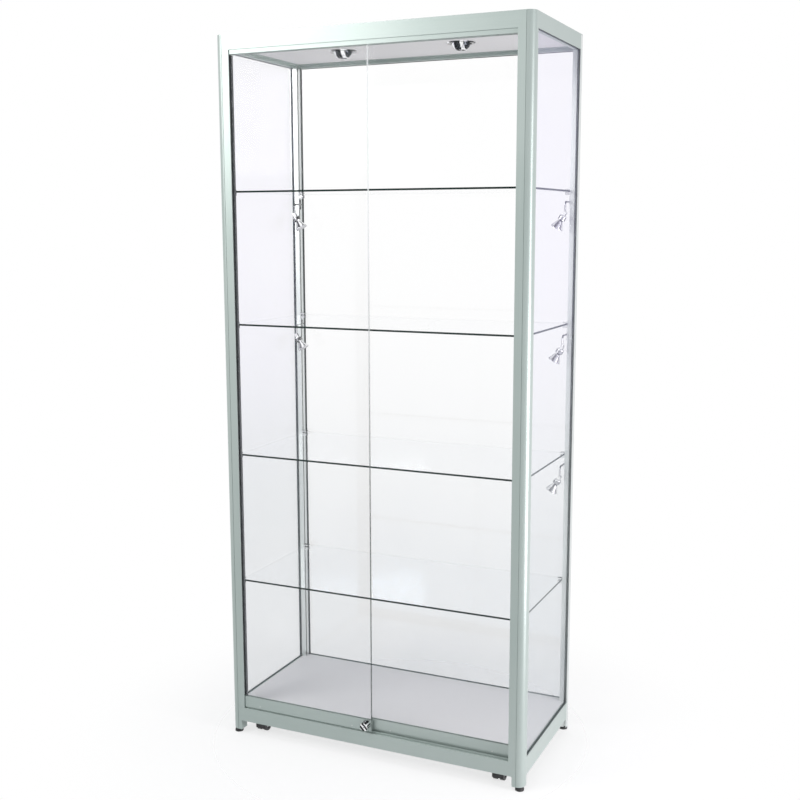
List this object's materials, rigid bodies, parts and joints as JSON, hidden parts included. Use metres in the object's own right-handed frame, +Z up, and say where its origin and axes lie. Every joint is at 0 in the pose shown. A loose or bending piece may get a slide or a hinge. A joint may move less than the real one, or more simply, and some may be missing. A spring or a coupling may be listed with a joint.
{
  "type": "glass display case",
  "caption": "Upright glass display case with a satin aluminium frame, sliding glass doors with a cam lock, glass shelves, spot lamps, downlights, castors and levelling feet.",
  "frame": {"origin": "on the floor under the middle of the whole box, lock included", "axes": "+Z up, X along the width, doors and lock face -Y"},
  "size_m": [0.897, 0.45, 1.98],
  "materials": {
    "satin_aluminium": "satin anodised",
    "clear_glass": "clear float glass with polished edges",
    "grey_laminate": "matt grey laminated board",
    "polished_chrome": "polished",
    "lamp_metal": "polished holder and faceted reflector",
    "white_nylon": "moulded",
    "black_plastic": "moulded",
    "zinc_steel": "zinc plated",
    "black_rubber": "matt"
  },
  "bodies": {
    "case": {"post_front_left": "satin_aluminium", "post_front_right": "satin_aluminium", "post_rear_left": "satin_aluminium", "post_rear_right": "satin_aluminium", "base_rail_left": "satin_aluminium", "base_rail_right": "satin_aluminium", "base_rail_rear": "satin_aluminium", "head_rail_left": "satin_aluminium", "head_rail_right": "satin_aluminium", "head_rail_rear": "satin_aluminium", "door_sill": "satin_aluminium", "door_lintel": "satin_aluminium", "door_track_lower": "satin_aluminium", "door_track_upper": "satin_aluminium", "top_lid": "satin_aluminium", "side_glass_left": "clear_glass", "side_glass_right": "clear_glass", "back_glass": "clear_glass", "glass_shelf_1": "clear_glass", "glass_shelf_2": "clear_glass", "glass_shelf_3": "clear_glass", "glass_shelf_4": "clear_glass", "base_deck": "grey_laminate", "ceiling_panel": "grey_laminate", "lamp_brackets": "polished_chrome", "downlight_rings": "polished_chrome", "shelf_clips": "polished_chrome", "power_supply": "black_plastic", "castor_plates": "zinc_steel", "cable_grommet": "black_rubber"},
    "door_left": {"door_glass_left": "clear_glass", "door_shoe_left": "satin_aluminium", "lock_case": "polished_chrome"},
    "door_right": {"door_glass_right": "clear_glass", "door_shoe_right": "satin_aluminium", "lock_keeper": "polished_chrome"},
    "lock": {"lock_plug": "polished_chrome"},
    "door_roller_left_1": {"door_roller_left_1": "white_nylon"},
    "door_roller_left_2": {"door_roller_left_2": "white_nylon"},
    "door_roller_right_1": {"door_roller_right_1": "white_nylon"},
    "door_roller_right_2": {"door_roller_right_2": "white_nylon"},
    "castor_fork_front_left": {"castor_fork_front_left": "black_plastic"},
    "castor_wheel_front_left": {"castor_wheel_front_left": "black_plastic"},
    "castor_fork_front_right": {"castor_fork_front_right": "black_plastic"},
    "castor_wheel_front_right": {"castor_wheel_front_right": "black_plastic"},
    "castor_fork_rear_left": {"castor_fork_rear_left": "black_plastic"},
    "castor_wheel_rear_left": {"castor_wheel_rear_left": "black_plastic"},
    "castor_fork_rear_right": {"castor_fork_rear_right": "black_plastic"},
    "castor_wheel_rear_right": {"castor_wheel_rear_right": "black_plastic"},
    "levelling_foot_front_left": {"levelling_foot_front_left": "black_rubber"},
    "levelling_foot_front_right": {"levelling_foot_front_right": "black_rubber"},
    "levelling_foot_rear_left": {"levelling_foot_rear_left": "black_rubber"},
    "levelling_foot_rear_right": {"levelling_foot_rear_right": "black_rubber"},
    "spot_lamp_right_4": {"spot_lamp_right_4": "lamp_metal"},
    "spot_lamp_right_3": {"spot_lamp_right_3": "lamp_metal"},
    "spot_lamp_right_2": {"spot_lamp_right_2": "lamp_metal"},
    "spot_lamp_left_4": {"spot_lamp_left_4": "lamp_metal"},
    "spot_lamp_left_3": {"spot_lamp_left_3": "lamp_metal"},
    "downlight_head_left": {"downlight_head_left": "polished_chrome"},
    "downlight_head_right": {"downlight_head_right": "polished_chrome"}
  },
  "joints": [
    {"name": "door_left_slide", "type": "slide", "parent": "case", "child": "door_left", "axis": [1, 0, 0], "range_m": [0, 0.4]},
    {"name": "door_right_slide", "type": "slide", "parent": "case", "child": "door_right", "axis": [-1, 0, 0], "range_m": [0, 0.4]},
    {"name": "door_roller_left_1_spin", "type": "hinge", "parent": "door_left", "child": "door_roller_left_1", "pos_m": [-0.3555, -0.2005, 0.0903], "axis": [0, 1, 0], "range_deg": [0, 3825]},
    {"name": "door_roller_left_2_spin", "type": "hinge", "parent": "door_left", "child": "door_roller_left_2", "pos_m": [-0.056, -0.2005, 0.0903], "axis": [0, 1, 0], "range_deg": [0, 3825]},
    {"name": "door_roller_right_1_spin", "type": "hinge", "parent": "door_right", "child": "door_roller_right_1", "pos_m": [0.056, -0.1875, 0.0903], "axis": [0, 1, 0], "range_deg": [-3825, 0]},
    {"name": "door_roller_right_2_spin", "type": "hinge", "parent": "door_right", "child": "door_roller_right_2", "pos_m": [0.3555, -0.1875, 0.0903], "axis": [0, 1, 0], "range_deg": [-3825, 0]},
    {"name": "lock_turn", "type": "hinge", "parent": "door_left", "child": "lock", "pos_m": [-0.01, -0.209, 0.1025], "axis": [0, 1, 0], "range_deg": [0, 90]},
    {"name": "castor_swivel_front_left", "type": "hinge", "parent": "case", "child": "castor_fork_front_left", "pos_m": [-0.3685, -0.149, 0.06], "axis": [0, 0, 1], "continuous": true},
    {"name": "castor_roll_front_left", "type": "hinge", "parent": "castor_fork_front_left", "child": "castor_wheel_front_left", "pos_m": [-0.3685, -0.163, 0.0185], "axis": [1, 0, 0], "continuous": true},
    {"name": "castor_swivel_front_right", "type": "hinge", "parent": "case", "child": "castor_fork_front_right", "pos_m": [0.3685, -0.149, 0.06], "axis": [0, 0, 1], "continuous": true},
    {"name": "castor_roll_front_right", "type": "hinge", "parent": "castor_fork_front_right", "child": "castor_wheel_front_right", "pos_m": [0.3685, -0.163, 0.0185], "axis": [1, 0, 0], "continuous": true},
    {"name": "castor_swivel_rear_left", "type": "hinge", "parent": "case", "child": "castor_fork_rear_left", "pos_m": [-0.3685, 0.165, 0.06], "axis": [0, 0, 1], "continuous": true},
    {"name": "castor_roll_rear_left", "type": "hinge", "parent": "castor_fork_rear_left", "child": "castor_wheel_rear_left", "pos_m": [-0.3685, 0.151, 0.0185], "axis": [1, 0, 0], "continuous": true},
    {"name": "castor_swivel_rear_right", "type": "hinge", "parent": "case", "child": "castor_fork_rear_right", "pos_m": [0.3685, 0.165, 0.06], "axis": [0, 0, 1], "continuous": true},
    {"name": "castor_roll_rear_right", "type": "hinge", "parent": "castor_fork_rear_right", "child": "castor_wheel_rear_right", "pos_m": [0.3685, 0.151, 0.0185], "axis": [1, 0, 0], "continuous": true},
    {"name": "foot_front_left_screw", "type": "slide", "parent": "case", "child": "levelling_foot_front_left", "axis": [0, 0, 1], "range_m": [-0.012, 0]},
    {"name": "foot_front_right_screw", "type": "slide", "parent": "case", "child": "levelling_foot_front_right", "axis": [0, 0, 1], "range_m": [-0.012, 0]},
    {"name": "foot_rear_left_screw", "type": "slide", "parent": "case", "child": "levelling_foot_rear_left", "axis": [0, 0, 1], "range_m": [-0.012, 0]},
    {"name": "foot_rear_right_screw", "type": "slide", "parent": "case", "child": "levelling_foot_rear_right", "axis": [0, 0, 1], "range_m": [-0.012, 0]},
    {"name": "spot_lamp_right_4_tilt", "type": "hinge", "parent": "case", "child": "spot_lamp_right_4", "pos_m": [0.4226, 0.162, 1.507], "axis": [0, 1, 0], "range_deg": [-20, 30]},
    {"name": "spot_lamp_right_3_tilt", "type": "hinge", "parent": "case", "child": "spot_lamp_right_3", "pos_m": [0.4226, 0.162, 1.141], "axis": [0, 1, 0], "range_deg": [-20, 30]},
    {"name": "spot_lamp_right_2_tilt", "type": "hinge", "parent": "case", "child": "spot_lamp_right_2", "pos_m": [0.4226, 0.162, 0.77], "axis": [0, 1, 0], "range_deg": [-20, 30]},
    {"name": "spot_lamp_left_4_tilt", "type": "hinge", "parent": "case", "child": "spot_lamp_left_4", "pos_m": [-0.4226, 0.162, 1.507], "axis": [0, -1, 0], "range_deg": [-20, 30]},
    {"name": "spot_lamp_left_3_tilt", "type": "hinge", "parent": "case", "child": "spot_lamp_left_3", "pos_m": [-0.4226, 0.162, 1.141], "axis": [0, -1, 0], "range_deg": [-20, 30]},
    {"name": "downlight_head_left_tilt", "type": "hinge", "parent": "case", "child": "downlight_head_left", "pos_m": [-0.175, 0.012, 1.9545], "axis": [1, 0, 0], "range_deg": [-20, 20]},
    {"name": "downlight_head_right_tilt", "type": "hinge", "parent": "case", "child": "downlight_head_right", "pos_m": [0.175, 0.012, 1.9545], "axis": [1, 0, 0], "range_deg": [-20, 20]}
  ],
  "couplings": [
    {"joint": "door_roller_left_1_spin", "follows": "door_left_slide", "rad_per_m": 166.67},
    {"joint": "door_roller_left_2_spin", "follows": "door_left_slide", "rad_per_m": 166.67},
    {"joint": "door_roller_right_1_spin", "follows": "door_right_slide", "rad_per_m": -166.67},
    {"joint": "door_roller_right_2_spin", "follows": "door_right_slide", "rad_per_m": -166.67}
  ]
}
